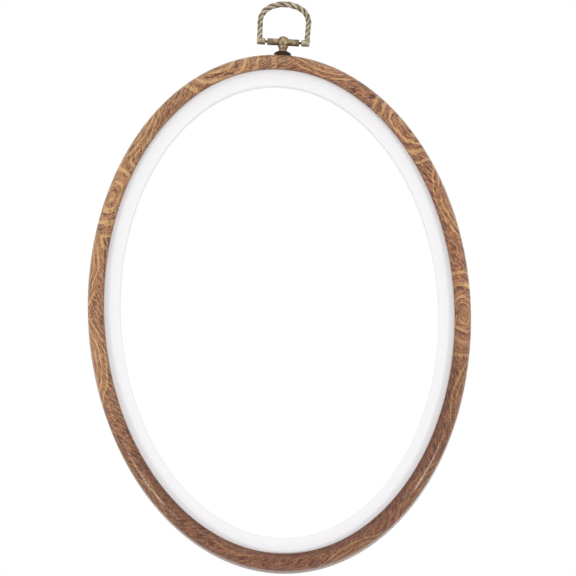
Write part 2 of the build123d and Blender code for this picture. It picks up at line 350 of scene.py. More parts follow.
# %% Outer frame
frame_low, frame_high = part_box("outer_frame")
MIDDLE = (frame_low + frame_high) / 2
HALF_WIDTH = (frame_high.x - frame_low.x) / 2
HALF_HEIGHT = (frame_high.z - frame_low.z) / 2
FRAME_FRONT = frame_low.y
FRAME_BACK = frame_high.y
FRAME_DEPTH = FRAME_BACK - FRAME_FRONT
FACE_WIDTH = 6.35 * MM
LIP_THICK = 2.2 * MM
LIP_REACH = 2.2 * MM
LIP_EASE = 0.65 * MM
WALL = FACE_WIDTH - LIP_REACH
FRONT_ROUND = 4.2 * MM
BACK_EASE = 0.6 * MM
MOUTH_EASE = 0.4 * MM
FRONT_STEPS, LIP_STEPS, BACK_STEPS, MOUTH_STEPS = 12, 5, 4, 3  # faces over each of the four roundings

BLOCK_FRONT = FRAME_FRONT + FRONT_ROUND
BLOCK_BACK = FRAME_BACK - BACK_EASE
LIP_BACK = BACK_EASE - (FRAME_DEPTH - LIP_THICK)

front_section = [(0, 0)]
front_section += rounded((0, 0), (FRONT_ROUND, FRONT_ROUND), (0, FRONT_ROUND), FRONT_STEPS)
front_section += [(FACE_WIDTH - LIP_EASE, FRONT_ROUND)]
lip_end = (FACE_WIDTH, FRONT_ROUND - LIP_EASE)
front_section += rounded(front_section[-1], lip_end, (FACE_WIDTH, FRONT_ROUND), LIP_STEPS)

mouth_end = (WALL, BACK_EASE - MOUTH_EASE)
back_section = [(0, 0)]
back_section += rounded((0, 0), (BACK_EASE, BACK_EASE), (0, BACK_EASE), BACK_STEPS)
back_section += [(WALL - MOUTH_EASE, BACK_EASE)]
back_section += rounded(back_section[-1], mouth_end, (WALL, BACK_EASE), MOUTH_STEPS)
back_section += [(WALL, LIP_BACK), (FACE_WIDTH - LIP_EASE / 2, LIP_BACK)]
back_section += [(FACE_WIDTH, LIP_BACK - LIP_EASE / 2)]

vinyl_frame = oval_block("vinyl_frame", MIDDLE, HALF_WIDTH, HALF_HEIGHT, BLOCK_FRONT, BLOCK_BACK)
bpy.ops.object.mode_set(mode="EDIT")
follow_section(vinyl_frame, -1, front_section)
follow_section(vinyl_frame, 1, back_section)
open_window(vinyl_frame)
smooth(vinyl_frame)
print(size_of(vinyl_frame))

# %% [markdown]
# The oak figure is a print. Plain-sawn oak shows its growth rings as contour lines: ovals round a knot, and
# nested bows where the board dips. So the figure is drawn as a map of ring numbers: knots and bows are
# listed along the frame, each with its place and the spacing of its rings, and where two of them meet the
# nearer one rules. The ring number is stored on the mesh together with the lengths along and across in
# millimetres, and the material turns it into golden bands.

# %% Map the oak figure
FIGURE_NAME = "oak_figure"
ROUND_KNOT = (3.6, 3.2, 0.1, 0.0)  # mm between rings along, mm across, squareness, first ring's number
HALF_KNOT = (4.4, 3.4, 0.1, 0.85)
EYE_KNOT = (4.9, 1.7, 1.0, 1.0)
EYE_CORE = (1.6, 0.75, 0.5, -1.0)
SMALL_EYE = (4.6, 2.0, 0.8, 1.0)
BOW = (3.15, 1.87, 0.0, -0.75)
WIDE_BOW = (3.5, 1.9, 0.0, -0.75)
FIGURES = (
    # mm along, clockwise from the top; mm across, from the outer wall towards the lip
    (22.0, -1.5, BOW),
    (62.9, 0.4, ROUND_KNOT),
    (96.5, -2.0, BOW),
    (141.5, 5.0, EYE_KNOT),
    (141.5, 5.0, EYE_CORE),
    (173.5, -3.4, BOW),
    (213.0, -3.0, BOW),
    (247.0, -4.0, BOW),
    (295.2, 15.0, WIDE_BOW),
    (338.0, -3.8, BOW),
    (391.0, -1.8, WIDE_BOW),
    (427.9, -2.0, BOW),
    (456.0, 5.0, SMALL_EYE),
    (482.0, -2.0, BOW),
    (524.7, 0.4, HALF_KNOT),
)
LIP_EDGE_LENGTHS = np.array([2.0, 1.0]) * MM  # beyond the face, at the lip's back and front edges
RING_BLEND = 2.5  # how sharply the nearer of two figures takes over
OUTLINE_FINENESS = 4  # points of the measured outline to each side of the oval
POINTS_AT_ONCE = 2000


def outline_lengths():
    """Points of the oval from the top, clockwise seen from the front, and the length up to each."""
    turns = np.linspace(0, 2 * math.pi, OVAL_SIDES * OUTLINE_FINENESS + 1)
    points = np.stack([HALF_WIDTH * np.sin(turns), HALF_HEIGHT * np.cos(turns)], axis=1)
    return points, lengths_along(points)


def across_of(inset, depth):
    """How far across the frame's skin points lie, in metres: above zero over the front, below it behind."""
    front_places = [(x, BLOCK_FRONT - y) for x, y in front_section]
    back_places = [(x, BLOCK_BACK + y) for x, y in back_section]
    side_length = BLOCK_BACK - BLOCK_FRONT
    front_lengths = lengths_along(front_section)
    back_lengths = -side_length - lengths_along(back_section)
    back_lengths[-2:] = front_lengths[-1] + LIP_EDGE_LENGTHS
    lengths = np.concatenate([front_lengths, back_lengths])
    places = np.array(front_places + back_places)
    gaps = np.hypot(places[:, 0][None] - inset[:, None], places[:, 1][None] - depth[:, None])
    return lengths[np.argmin(gaps, axis=1)]


def ring_number(along, across, whole):
    """The map of ring numbers; along and across are in millimetres."""
    total = np.zeros_like(along)
    for place, middle, (ring_along, ring_across, squareness, first) in FIGURES:
        gap = (along - place + whole / 2) % whole - whole / 2
        x = gap / ring_along
        y = (across - middle) / ring_across
        total += np.exp(-RING_BLEND * (np.sqrt(x**2 + y**2 / (1 + squareness * x**2)) + first))
    return -np.log(total) / RING_BLEND


def map_figure(obj):
    """Stores the ring number and the lengths along and across on each corner of the mesh."""
    mesh = obj.data
    co = np.array([vertex.co for vertex in mesh.vertices])
    points, lengths = outline_lengths()
    flat = co[:, [0, 2]] - np.array([MIDDLE.x, MIDDLE.z])
    nearest = np.empty(len(co), dtype=int)
    inset = np.empty(len(co))
    for start in range(0, len(co), POINTS_AT_ONCE):
        some = slice(start, start + POINTS_AT_ONCE)
        part = flat[some]
        gaps = np.hypot(part[:, 0][:, None] - points[:, 0], part[:, 1][:, None] - points[:, 1])
        nearest[some] = np.argmin(gaps, axis=1)
        inset[some] = np.min(gaps, axis=1)
    whole = lengths[-1] / MM
    corner_vertex = np.array([loop.vertex_index for loop in mesh.loops])
    along = (lengths[nearest] / MM)[corner_vertex]
    across = (across_of(inset, co[:, 1]) / MM)[corner_vertex]
    for polygon in mesh.polygons:
        corners = slice(polygon.loop_start, polygon.loop_start + polygon.loop_total)
        part = along[corners]
        if part.max() - part.min() > whole / 2:
            along[corners] = np.where(part < whole / 2, part + whole, part)
    values = np.stack([ring_number(along, across, whole), along, across], axis=1)
    attribute = mesh.attributes.new(FIGURE_NAME, "FLOAT_VECTOR", "CORNER")
    attribute.data.foreach_set("vector", values.astype(np.float32).ravel())
    return whole


around = map_figure(vinyl_frame)
face_length = lengths_along(front_section)[-1] / MM
print("round the frame", round(around), "mm, over its face", round(face_length, 1))

# %% [markdown]
# The material is vinyl with an oak print under a satin top coat. The golden bands are drawn a third of a
# ring past each whole ring number, which is a little shaken by noise. The dark pores are noise stretched
# along the same rings, so that they flow with the figure as in sawn wood; where no figure is near they run
# slantwise. From the right side round the foot the colour is darkened as painted shade and the figure is a
# little fainter, and up the left side a painted sheen makes it paler. Under the hanger two ends of the
# printed film meet in a seam like a ladder, with a golden stripe beside it. Towards the lip a painted shade
# darkens the print, more so below, and a painted dark line runs on the lip's edge. Lengths here are in
# millimetres, as on the mesh.

# %% Printed vinyl
PRINT_GROUND = "BE8A61"
PRINT_GROUND_DEEP = "9A5F40"
PRINT_GOLD = "D9AB70"
# the brown of the pores and of the seam's rungs, and also the colour of the painted shade
PORE_AND_PAINTED_SHADE = "502415"
# the seam's pale print, and also the colour of the painted sheen on the left side
PALE_PRINT_AND_SHEEN = "E1BE84"
GROUND_NOISE = {"Scale": 1.1, "Detail": 3.0, "Roughness": 0.6}
GROUND_STEP = (0.38, 0.6)

SHAKE_NOISE = {"Scale": 0.2, "Detail": 3.0}
SHAKE_STEP = (0.0, 1.0, -0.33, 0.33)  # in rings
BAND_OFFSET = 0.33  # in rings
BAND_STEP = (0.35, 0.85)
BAND_STRENGTH = 0.9
LAST_RING = 4.6
LAST_RING_STEP = (LAST_RING - 0.15, LAST_RING + 0.1, 1.0, 0.0)
PATCH_SCALE = 0.07
PATCH_STEP = (0.34, 0.46, 0.3, 1.0)

PORES_PER_RING = (3.9, 6.8)
PORE_LENGTH = 4.2
PORE_NOISE = {"Scale": 1.0, "Detail": 3.0, "Roughness": 0.65}
PORE_STEP = (0.56, 0.59)
PORE_STRENGTH = (0.0, 1.0, 0.85, 0.45)  # off and on a golden band
PORE_DEPTH = 0.04 * MM
SLANT_TURN = ((0.9, 1.8), (0.22, -0.11))  # noise to a millimetre along and across: over a streak, down it
SLANT_NOISE = {"Scale": 1.0, "Detail": 3.0, "Roughness": 0.6}
SLANT_STEP = (0.5, 0.54)
SLANT_PLACE = (LAST_RING - 1.2, LAST_RING - 0.2)

FADE_IN = (120.0, 190.0)  # along, clockwise from the top
FADE_OUT = (325.0, 395.0, 1.0, 0.0)
FADED_FIGURE = (0.0, 1.0, 1.0, 0.9)
# painted shade: how far the lower part of the frame is darkened
PAINTED_SHADE_BELOW = 0.48
# painted sheen: from here on round the left side the colour is made paler
PAINTED_SHEEN_LEFT = (340.0, 380.0, 0.0, 0.12)

SEAM_PLACE = 6.4
SEAM_STEP = (0.95, 1.25, 1.0, 0.0)
SEAM_PALENESS = 0.35
RUNG_LENGTH = 1.5
RUNG_STEP = (-0.2, 0.5, 0.0, 0.6)
STRIPE_PLACE = 2.5
STRIPE_STEP = (0.8, 1.3, 0.85, 0.0)

# painted shade beside the lip, stronger below, and a painted dark line on the lip's edge
PAINTED_LIP_SHADE = (5.0, 8.4)
PAINTED_LIP_SHADE_STRENGTH = (0.0, 1.0, 0.2, 0.5)  # above and below
PAINTED_LIP_LINE = (8.2, 8.9, 0.0, 0.55)


def off_place(tree, along, place):
    """How far along the frame something lies from a place, to either side."""
    gap = node(tree, "Math", (along, place), operation="SUBTRACT")
    return node(tree, "Math", (gap,), operation="ABSOLUTE")


def print_seam(tree, along, across):
    """The seam's layers of colour: a pale strip, dark rungs on it, and a golden stripe beside it."""
    inside = node(tree, "MapRange", (off_place(tree, along, SEAM_PLACE), *SEAM_STEP), **SOFT)
    pale = node(tree, "Math", (inside, SEAM_PALENESS), operation="MULTIPLY")
    wave = node(tree, "Math", (across, 2 * math.pi / RUNG_LENGTH), operation="MULTIPLY")
    wave = node(tree, "Math", (wave,), operation="SINE")
    rung = node(tree, "MapRange", (wave, *RUNG_STEP), **SOFT)
    rung = node(tree, "Math", (inside, rung), operation="MULTIPLY")
    stripe = node(tree, "MapRange", (off_place(tree, along, STRIPE_PLACE), *STRIPE_STEP), **SOFT)
    return [(pale, PALE_PRINT_AND_SHEEN), (rung, PORE_AND_PAINTED_SHADE), (stripe, PRINT_GOLD)]


def pore_streaks(tree, shaken, along, across):
    """Dark pores: two layers that flow with the rings, and slanted ones where no figure is near."""
    slow = [node(tree, "Math", (way, PORE_LENGTH), operation="DIVIDE") for way in (along, across)]
    layers = []
    for per_ring in PORES_PER_RING:
        flow = node(tree, "Math", (shaken, per_ring), operation="MULTIPLY")
        place = node(tree, "CombineXYZ", (flow, *slow))
        layers.append(node(tree, "TexNoise", {"Vector": place, **PORE_NOISE}))
    flowing = node(tree, "Math", layers, operation="MAXIMUM")
    flowing = node(tree, "MapRange", (flowing, *PORE_STEP), **SOFT)
    turned = []
    for per_along, per_across in SLANT_TURN:
        part = node(tree, "Math", (across, per_across), operation="MULTIPLY")
        turned.append(node(tree, "Math", (along, per_along, part), operation="MULTIPLY_ADD"))
    place = node(tree, "CombineXYZ", turned)
    slanted = node(tree, "TexNoise", {"Vector": place, **SLANT_NOISE})
    slanted = node(tree, "MapRange", (slanted, *SLANT_STEP), **SOFT)
    far = node(tree, "MapRange", (shaken, *SLANT_PLACE), **SOFT)
    return node(tree, "Mix", {FACTOR: far, A_NUMBER: flowing, B_NUMBER: slanted})


def golden_bands(tree, shaken, skin, below):
    """The bands' strength, which weakens beyond the last ring, in patches and in the faded stretch."""
    phase = node(tree, "Math", (shaken, 2 * math.pi, -BAND_OFFSET * 2 * math.pi), operation="MULTIPLY_ADD")
    wave = node(tree, "Math", (phase,), operation="COSINE")
    band = node(tree, "MapRange", (wave, *BAND_STEP), **SOFT)
    patch = node(tree, "TexNoise", {"Vector": skin, "Scale": PATCH_SCALE})
    for value, step in ((shaken, LAST_RING_STEP), (patch, PATCH_STEP), (below, FADED_FIGURE)):
        strength = node(tree, "MapRange", (value, *step), **SOFT)
        band = node(tree, "Math", (band, strength), operation="MULTIPLY")
    return band


def painted_lip_shade(tree, across, below):
    """Painted shade beside the lip, stronger below, and a painted dark line on its edge."""
    beside = node(tree, "MapRange", (across, *PAINTED_LIP_SHADE), **SOFT)
    strength = node(tree, "MapRange", (below, *PAINTED_LIP_SHADE_STRENGTH), **SOFT)
    beside = node(tree, "Math", (beside, strength), operation="MULTIPLY")
    line = node(tree, "MapRange", (across, *PAINTED_LIP_LINE), **SOFT)
    return node(tree, "Math", (beside, line), operation="MAXIMUM")


def shaded_oak_print(tree):
    """The print's colour, with painted shade and a painted sheen laid over it, and the strength of its
    pores.
    """
    figure = node(tree, "Attribute", out="Vector", attribute_name=FIGURE_NAME)
    ring, along, across = node(tree, "SeparateXYZ", (figure,)).node.outputs
    skin = node(tree, "CombineXYZ", (along, across))
    shake = node(tree, "TexNoise", {"Vector": skin, **SHAKE_NOISE})
    shake = node(tree, "MapRange", (shake, *SHAKE_STEP), **SOFT)
    shaken = node(tree, "Math", (ring, shake), operation="ADD")
    fade_in = node(tree, "MapRange", (along, *FADE_IN), **SOFT)
    fade_out = node(tree, "MapRange", (along, *FADE_OUT), **SOFT)
    below = node(tree, "Math", (fade_in, fade_out), operation="MULTIPLY")
    band = golden_bands(tree, shaken, skin, below)
    pore = pore_streaks(tree, shaken, along, across)
    held = node(tree, "MapRange", (band, *PORE_STRENGTH), **SOFT)
    layers = [
        (node(tree, "Math", (band, BAND_STRENGTH), operation="MULTIPLY"), PRINT_GOLD),
        *print_seam(tree, along, across),
        # painted shade over the lower part of the frame
        (node(tree, "Math", (below, PAINTED_SHADE_BELOW), operation="MULTIPLY"), PORE_AND_PAINTED_SHADE),
        # painted sheen up the left side
        (node(tree, "MapRange", (along, *PAINTED_SHEEN_LEFT), **SOFT), PALE_PRINT_AND_SHEEN),
        (node(tree, "Math", (pore, held), operation="MULTIPLY"), PORE_AND_PAINTED_SHADE),
        # painted shade beside the lip and on its edge
        (painted_lip_shade(tree, across, below), PORE_AND_PAINTED_SHADE),
    ]
    fine = node(tree, "TexNoise", {"Vector": skin, **GROUND_NOISE})
    fine = node(tree, "MapRange", (fine, *GROUND_STEP), **SOFT)
    tones = {FACTOR: fine, A: colour(PRINT_GROUND_DEEP), B: colour(PRINT_GROUND)}
    shaded_print = node(tree, "Mix", tones, **COLOUR_MIX)
    for share, code in layers:
        shaded_print = node(tree, "Mix", {FACTOR: share, A: shaded_print, B: colour(code)}, **COLOUR_MIX)
    return shaded_print, pore


def shaded_printed_vinyl():
    """Soft vinyl with the print, painted shade and a painted sheen under its top coat; the pores are
    pressed into it.
    """
    made, tree, shader = new_material("Vinyl with an oak print")
    shaded_print, pore = shaded_oak_print(tree)
    dents = node(tree, "Bump", {"Height": pore, "Distance": -PORE_DEPTH, "Strength": 0.7})
    fill(tree, shader, {"Base Color": shaded_print, "Roughness": 0.23, "IOR": 1.5, "Normal": dents})
    return made


vinyl_frame.data.materials.append(shaded_printed_vinyl())
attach(vinyl_frame, "frame")
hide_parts("outer_frame")
print("frame dressed")

# %% [markdown]
# The inner ring is a stiff white moulding. From the front only its sloping band shows. Behind, it has a
# deep wall that grips the cloth, a low rim round the window and a channel with webs between the two, as
# moulded rings have to save plastic. It is shaped as the frame was, and one web is made and copied round.

# %% Inner ring
CLOTH_GAP = 0.3 * MM
BAND_WIDTH = 6.05 * MM
BAND_FALL = 0.6 * MM
BAND_THICK = 1.8 * MM
BAND_EASE = 0.5 * MM
BAND_STEPS = 5
GRIP_WALL = 1.8 * MM
RIM_WALL = 1.6 * MM
RIM_DEPTH = 4.8 * MM
RING_EASE = 0.3 * MM
RING_INSET = WALL + CLOTH_GAP
RING_WIDTH = FACE_WIDTH + BAND_WIDTH - RING_INSET
RING_FRONT = FRAME_FRONT + LIP_THICK
RING_DEPTH = FRAME_BACK - RING_FRONT
CHANNEL_FLOOR = BAND_FALL + BAND_THICK
WEB_COUNT = 28
WEB_THICK = 1.2 * MM
WEB_INSET = 0.6 * MM
WEB_OVERLAP = 0.3 * MM


def ring_front_section():
    """Flat under the frame's lip, then down the sloping band to the window's edge."""
    ease_start = -BAND_FALL * (1 - BAND_EASE / BAND_WIDTH)
    points = [(0, 0), (RING_WIDTH - BAND_WIDTH, 0), (RING_WIDTH - BAND_EASE, ease_start)]
    ease_end = (RING_WIDTH, -BAND_FALL - BAND_EASE)
    return points + rounded(points[-1], ease_end, (RING_WIDTH, -BAND_FALL), BAND_STEPS)


def ring_back_section():
    """Over the grip wall, down into the channel and up to the low rim round the window."""
    channel_floor = CHANNEL_FLOOR - RING_DEPTH
    rim_back = RIM_DEPTH - RING_DEPTH
    points = [(0, 0), (RING_EASE, RING_EASE)]
    points += [(GRIP_WALL - RING_EASE, RING_EASE), (GRIP_WALL, 0), (GRIP_WALL, channel_floor + RING_EASE)]
    points += [(RING_WIDTH - RIM_WALL, channel_floor + RING_EASE), (RING_WIDTH - RIM_WALL, rim_back)]
    points += [(RING_WIDTH - RING_EASE, rim_back), (RING_WIDTH, rim_back - RING_EASE)]
    return points


def add_webs(ring):
    """Copies one web round the channel, square to the oval."""
    width = RING_WIDTH - GRIP_WALL - RIM_WALL + 2 * WEB_OVERLAP
    middle = RING_INSET + GRIP_WALL - WEB_OVERLAP + width / 2
    front = RING_FRONT + CHANNEL_FLOOR - WEB_OVERLAP
    depth = RING_FRONT + RIM_DEPTH - WEB_INSET - front
    half_x, half_z = HALF_WIDTH - middle, HALF_HEIGHT - middle
    webs = []
    for number in range(WEB_COUNT):
        turn = 2 * math.pi * (number + 0.5) / WEB_COUNT
        place = Vector((half_x * math.cos(turn), front + depth / 2, half_z * math.sin(turn)))
        place += Vector((MIDDLE.x, 0, MIDDLE.z))
        lean = math.atan2(math.sin(turn) / half_z, math.cos(turn) / half_x)
        leave_edit()
        bpy.ops.mesh.primitive_cube_add(size=1, location=place, rotation=(0, -lean, 0))
        web = bpy.context.object
        web.scale = (width, depth, WEB_THICK)
        apply_place(web)
        webs.append(web)
    return join(ring.name, ring, *webs)


ring_halves = (HALF_WIDTH - RING_INSET, HALF_HEIGHT - RING_INSET)
white_ring = oval_block("white_ring", MIDDLE, *ring_halves, RING_FRONT, FRAME_BACK - RING_EASE)
bpy.ops.object.mode_set(mode="EDIT")
follow_section(white_ring, -1, ring_front_section())
follow_section(white_ring, 1, ring_back_section())
open_window(white_ring)
white_ring = add_webs(white_ring)
smooth(white_ring)
print(size_of(white_ring))

# %% [markdown]
# White polystyrene, injection moulded in a polished mould. It has a soft gloss, and its walls are so thick
# that hardly any light comes through. A very shallow ripple stands for the shrinking of the moulding.

# %% Moulded white
MOULDED_WHITE = "F6F5F7"
MOULDED_WHITE_DEEP = "F3F2F4"
RIPPLE_LENGTH = 25 * MM
RIPPLE_HEIGHT = 0.02 * MM


def moulded_white():
    """White plastic with a soft gloss and a shallow ripple."""
    made, tree, shader = new_material("Moulded white polystyrene")
    place = node(tree, "TexCoord", out="Object")
    ripple = node(tree, "TexNoise", {"Vector": place, "Scale": 1 / RIPPLE_LENGTH, "Detail": 1.0})
    tones = {FACTOR: ripple, A: colour(MOULDED_WHITE_DEEP), B: colour(MOULDED_WHITE)}
    tone = node(tree, "Mix", tones, **COLOUR_MIX)
    dents = node(tree, "Bump", {"Height": ripple, "Distance": RIPPLE_HEIGHT, "Strength": 1.0})
    fill(tree, shader, {"Base Color": tone, "Roughness": 0.34, "IOR": 1.57, "Normal": dents})
    return made


white_ring.data.materials.append(moulded_white())
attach(white_ring, "ring")
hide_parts("inner_ring")
print("ring dressed")

# %% [markdown]
# The hanger stands a little to the right of the oval's axis and leans with the oval's edge. Its pieces are
# built upright round the pivot, where sizes are easy to think about, and are turned into place together at
# the end. The pivot's place and its two axes come from the record's joints.

# %% The hanger's own axes
PIVOT = Vector(joints["bail_pivot"]["pos_m"])
CROSS_AXIS = Vector(joints["bail_pivot"]["axis"]).normalized()
STEM_AXIS = Vector(joints["hanger_swivel"]["axis"]).normalized()
DEPTH_AXIS = STEM_AXIS.cross(CROSS_AXIS)
HANGER_TURN = Matrix((CROSS_AXIS, DEPTH_AXIS, STEM_AXIS)).transposed().to_4x4()
HANGER_PLACE = Matrix.Translation(PIVOT) @ HANGER_TURN
SPUN_SIDES = 72
BAR_SIDES = 48


def put_in_place(obj):
    """Turns a piece that was built upright round the pivot into the hanger's place."""
    pick(obj)
    obj.matrix_world = HANGER_PLACE
    apply_place(obj)


def spun(name, profile):
    """A solid of revolution about the pivot's upright axis, from (radius, height) points."""
    leave_edit()
    bpy.ops.mesh.primitive_plane_add(size=1)
    obj = bpy.context.object
    obj.name = name
    bpy.ops.object.mode_set(mode="EDIT")
    bpy.ops.mesh.delete(type="ONLY_FACE")
    bpy.ops.mesh.select_all(action="SELECT")
    bpy.ops.mesh.merge(type="CENTER")
    shape = bmesh.from_edit_mesh(obj.data)
    shape.verts.ensure_lookup_table()
    shape.verts[0].co = (profile[0][0], 0, profile[0][1])
    shape.verts[0].select_set(True)
    bmesh.update_edit_mesh(obj.data)
    for (radius, height), (next_radius, next_height) in zip(profile, profile[1:]):
        step = (next_radius - radius, 0, next_height - height)
        bpy.ops.mesh.extrude_region_move(TRANSFORM_OT_translate={"value": step})
    bpy.ops.mesh.select_all(action="SELECT")
    bpy.ops.mesh.spin(steps=SPUN_SIDES, angle=2 * math.pi, center=(0, 0, 0), axis=(0, 0, 1))
    weld()
    return obj


def round_bar(radius, length, place, lying=True):
    """A round bar about a place, lying along the pivot or standing."""
    leave_edit()
    bpy.ops.mesh.primitive_cylinder_add(
        vertices=BAR_SIDES,
        radius=radius,
        depth=length,
        location=place,
        rotation=(0, QUARTER_TURN if lying else 0, 0),
    )
    obj = bpy.context.object
    apply_place(obj)
    return obj


print("hanger stands", round(math.degrees(math.asin(STEM_AXIS.x)), 2), "degrees off upright")

# %% [markdown]
# A small dark washer, domed like an upholstery nail, carries the post. Spinning its profile is the plain
# way to make it, as a lathe or a press would.

# %% Domed washer
SEAT = -5.9 * MM  # below the pivot
DOME_RADIUS = 3.5 * MM
DOME_HEIGHT = 2.0 * MM
DOME_EDGE = 0.4 * MM
DOME_WALL = 0.6 * MM
DOME_BORE = 0.9 * MM
DOME_CROWN = 2.1 * MM  # the radius of the flat on top
DOME_STEPS = 8


def dome_profile():
    """Up over the dome from its rim, and back underneath."""
    outside = [(DOME_RADIUS, 0), (DOME_RADIUS, DOME_EDGE)]
    outside += rounded(outside[-1], (DOME_CROWN, DOME_HEIGHT), (DOME_RADIUS, DOME_HEIGHT), DOME_STEPS)
    inside = [(DOME_BORE, DOME_HEIGHT), (DOME_BORE, DOME_HEIGHT - DOME_WALL)]
    inside += [(DOME_CROWN, DOME_HEIGHT - DOME_WALL), (DOME_RADIUS - DOME_WALL, 0), (DOME_RADIUS, 0)]
    return [(radius, SEAT + height) for radius, height in outside + inside]


domed_washer = spun("domed_washer", dome_profile())
smooth(domed_washer)
put_in_place(domed_washer)
print(size_of(domed_washer))

# %% [markdown]
# The post is one brass casting: a flange, a waisted neck, a ball and two cross barrels that hold the bail's
# pins. The stem is spun. A barrel is a cylinder whose end face is inset and pushed in for the bore, and a
# boolean melts all three together, since a casting shows no seams.

# %% Hanger post
FLANGE_RADIUS = 1.7 * MM
FLANGE_THICK = 0.45 * MM
FLANGE_EASE = Vector((0.1, 0.12)) * MM  # inwards and down
FLARE = Vector((0.06, 0.2)) * MM  # of the neck's foot: outwards from the neck and up from the flange
NECK_RADIUS = 1.48 * MM
NECK_RISE = 0.6 * MM
NECK_CURVE = 2.2
NECK_STEPS = 6
BALL_RADIUS = 2.4 * MM
BALL_END = math.radians(-34)
BALL_STEPS = 18
BARREL_RADIUS = 1.33 * MM
BARREL_START = 0.5 * MM
BARREL_REACH = 6.13 * MM
BARREL_RIM = 0.12 * MM
BORE_RADIUS = 0.5 * MM
BORE_DEPTH = 0.8 * MM


def post_profile():
    """From the crown of the ball down to the flange's underside."""
    flange_bottom = SEAT + DOME_HEIGHT
    flange_top = flange_bottom + FLANGE_THICK
    points = [(0, BALL_RADIUS)] + arc_points((0, 0), BALL_RADIUS, QUARTER_TURN, BALL_END, BALL_STEPS)
    radius, height = points[-1]
    for number in range(1, NECK_STEPS + 1):
        share = number / NECK_STEPS
        next_radius = radius + (NECK_RADIUS - radius) * share**NECK_CURVE
        points.append((next_radius, height + (flange_top + NECK_RISE - height) * share))
    points += [(NECK_RADIUS + FLARE.x, flange_top + FLARE.y), (FLANGE_RADIUS - FLANGE_EASE.x, flange_top)]
    points += [(FLANGE_RADIUS, flange_top - FLANGE_EASE.y), (FLANGE_RADIUS, flange_bottom)]
    return points + [(0, flange_bottom)]


def barrel(side):
    """One cross barrel, from inside the ball outwards."""
    length = BARREL_REACH - BARREL_START
    obj = round_bar(BARREL_RADIUS, length, (side * (BARREL_REACH - length / 2), 0, 0))
    bpy.ops.object.mode_set(mode="EDIT")
    select_where(obj, "faces", lambda face: len(face.verts) > 4 and face.normal.x * side > FACING)
    bpy.ops.mesh.inset(thickness=BARREL_RIM, depth=0)
    bpy.ops.mesh.inset(thickness=BARREL_RADIUS - BORE_RADIUS - BARREL_RIM, depth=0)
    bpy.ops.mesh.inset(thickness=0, depth=-BORE_DEPTH)
    leave_edit()
    return obj


def melt_together(base, *others):
    """Joins other solids to the first with a boolean, and takes them away."""
    for other in others:
        pick(base)
        union = base.modifiers.new("union", "BOOLEAN")
        union.operation = "UNION"
        union.solver = "EXACT"
        union.object = other
        bpy.ops.object.modifier_apply(modifier=union.name)
        bpy.data.objects.remove(other)
    return base


brass_post = spun("brass_post", post_profile())
brass_post = melt_together(brass_post, barrel(-1), barrel(1))
smooth(brass_post)
put_in_place(brass_post)
print(size_of(brass_post))

# %% [markdown]
# The bail is cast to look like twisted rope. A straight rope is made first: a three-lobed section is
# extruded one short step at a time, and turned a little at each step, finer near the feet than over the
# arch. A curve modifier then bends it along the bail's outline. How deep each point lies in a groove is
# stored before bending, for the dark patina that stays in the grooves.

# %% The bail's outline
LEG_FOOT_X = 9.05 * MM
LEG_TOP_X = 9.3 * MM
ARCH_HEIGHT = 15.1 * MM
ARCH_RADIUS = 12.5 * MM
CORNER_RADIUS = 6.5 * MM
LEG_STEPS, CORNER_STEPS, ARCH_STEPS = 12, 40, 24


def bail_path():
    """The wire's middle line from the left foot to the right one, as (x, z) points."""
    corner_x = LEG_TOP_X - CORNER_RADIUS
    arch_z = ARCH_HEIGHT - ARCH_RADIUS
    corner_z = arch_z + math.sqrt((ARCH_RADIUS - CORNER_RADIUS) ** 2 - corner_x**2)
    meet = math.atan2(corner_z - arch_z, corner_x)
    shares = [number / LEG_STEPS for number in range(LEG_STEPS + 1)]
    right = [(LEG_FOOT_X + (LEG_TOP_X - LEG_FOOT_X) * share, corner_z * share) for share in shares]
    right += arc_points((corner_x, corner_z), CORNER_RADIUS, 0, meet, CORNER_STEPS)
    right += arc_points((0, arch_z), ARCH_RADIUS, meet, QUARTER_TURN, ARCH_STEPS)
    return [(-x, z) for x, z in right] + right[-2::-1]


path_points = bail_path()
rope_length = float(lengths_along(path_points)[-1])
print("rope", round(rope_length / MM, 1), "mm long")

# %% Twist the rope
WIRE_LEG_RADIUS = 1.08 * MM
WIRE_TOP_RADIUS = 1.22 * MM
GROOVE_SHARE = 0.76  # the radius at the bottom of a groove, where the crests have 1
STRANDS = 3
LOBE_SIDES = 14
GROOVE_STEP_LEG = 2.25 * MM
GROOVE_STEP_TOP = 3.5 * MM
ROPE_STEPS = 190
CROWN_POWER = 4
CREST_NAME = "crest"


def lobed_radius(turn):
    """The section's radius for a wire of radius 1: round lobes that meet in narrow grooves."""
    half = math.pi / STRANDS
    lobe_middle = (1 - GROOVE_SHARE**2) / (2 - 2 * GROOVE_SHARE * math.cos(half))
    lobe_radius = 1 - lobe_middle
    off = (turn + half) % (2 * half) - half
    reach = lobe_radius**2 - (lobe_middle * math.sin(off)) ** 2
    return lobe_middle * math.cos(off) + math.sqrt(max(reach, 0))


def start_section():
    """The lobed end face, as a disc whose rim is reshaped."""
    leave_edit()
    bpy.ops.mesh.primitive_circle_add(vertices=STRANDS * LOBE_SIDES, radius=1, fill_type="NGON")
    obj = bpy.context.object
    obj.name = "rope_bail"
    for vertex in obj.data.vertices:
        turn = math.atan2(vertex.co.y, vertex.co.x)
        radius = lobed_radius(turn) * WIRE_LEG_RADIUS
        vertex.co = (radius * math.cos(turn), radius * math.sin(turn), 0)
    return obj


def crown_at(share):
    """0 near the feet, 1 at the top of the arch."""
    return math.sin(math.pi * share) ** CROWN_POWER


def wire_radius(crown):
    """The wire is thickest over the arch."""
    return WIRE_LEG_RADIUS + (WIRE_TOP_RADIUS - WIRE_LEG_RADIUS) * crown


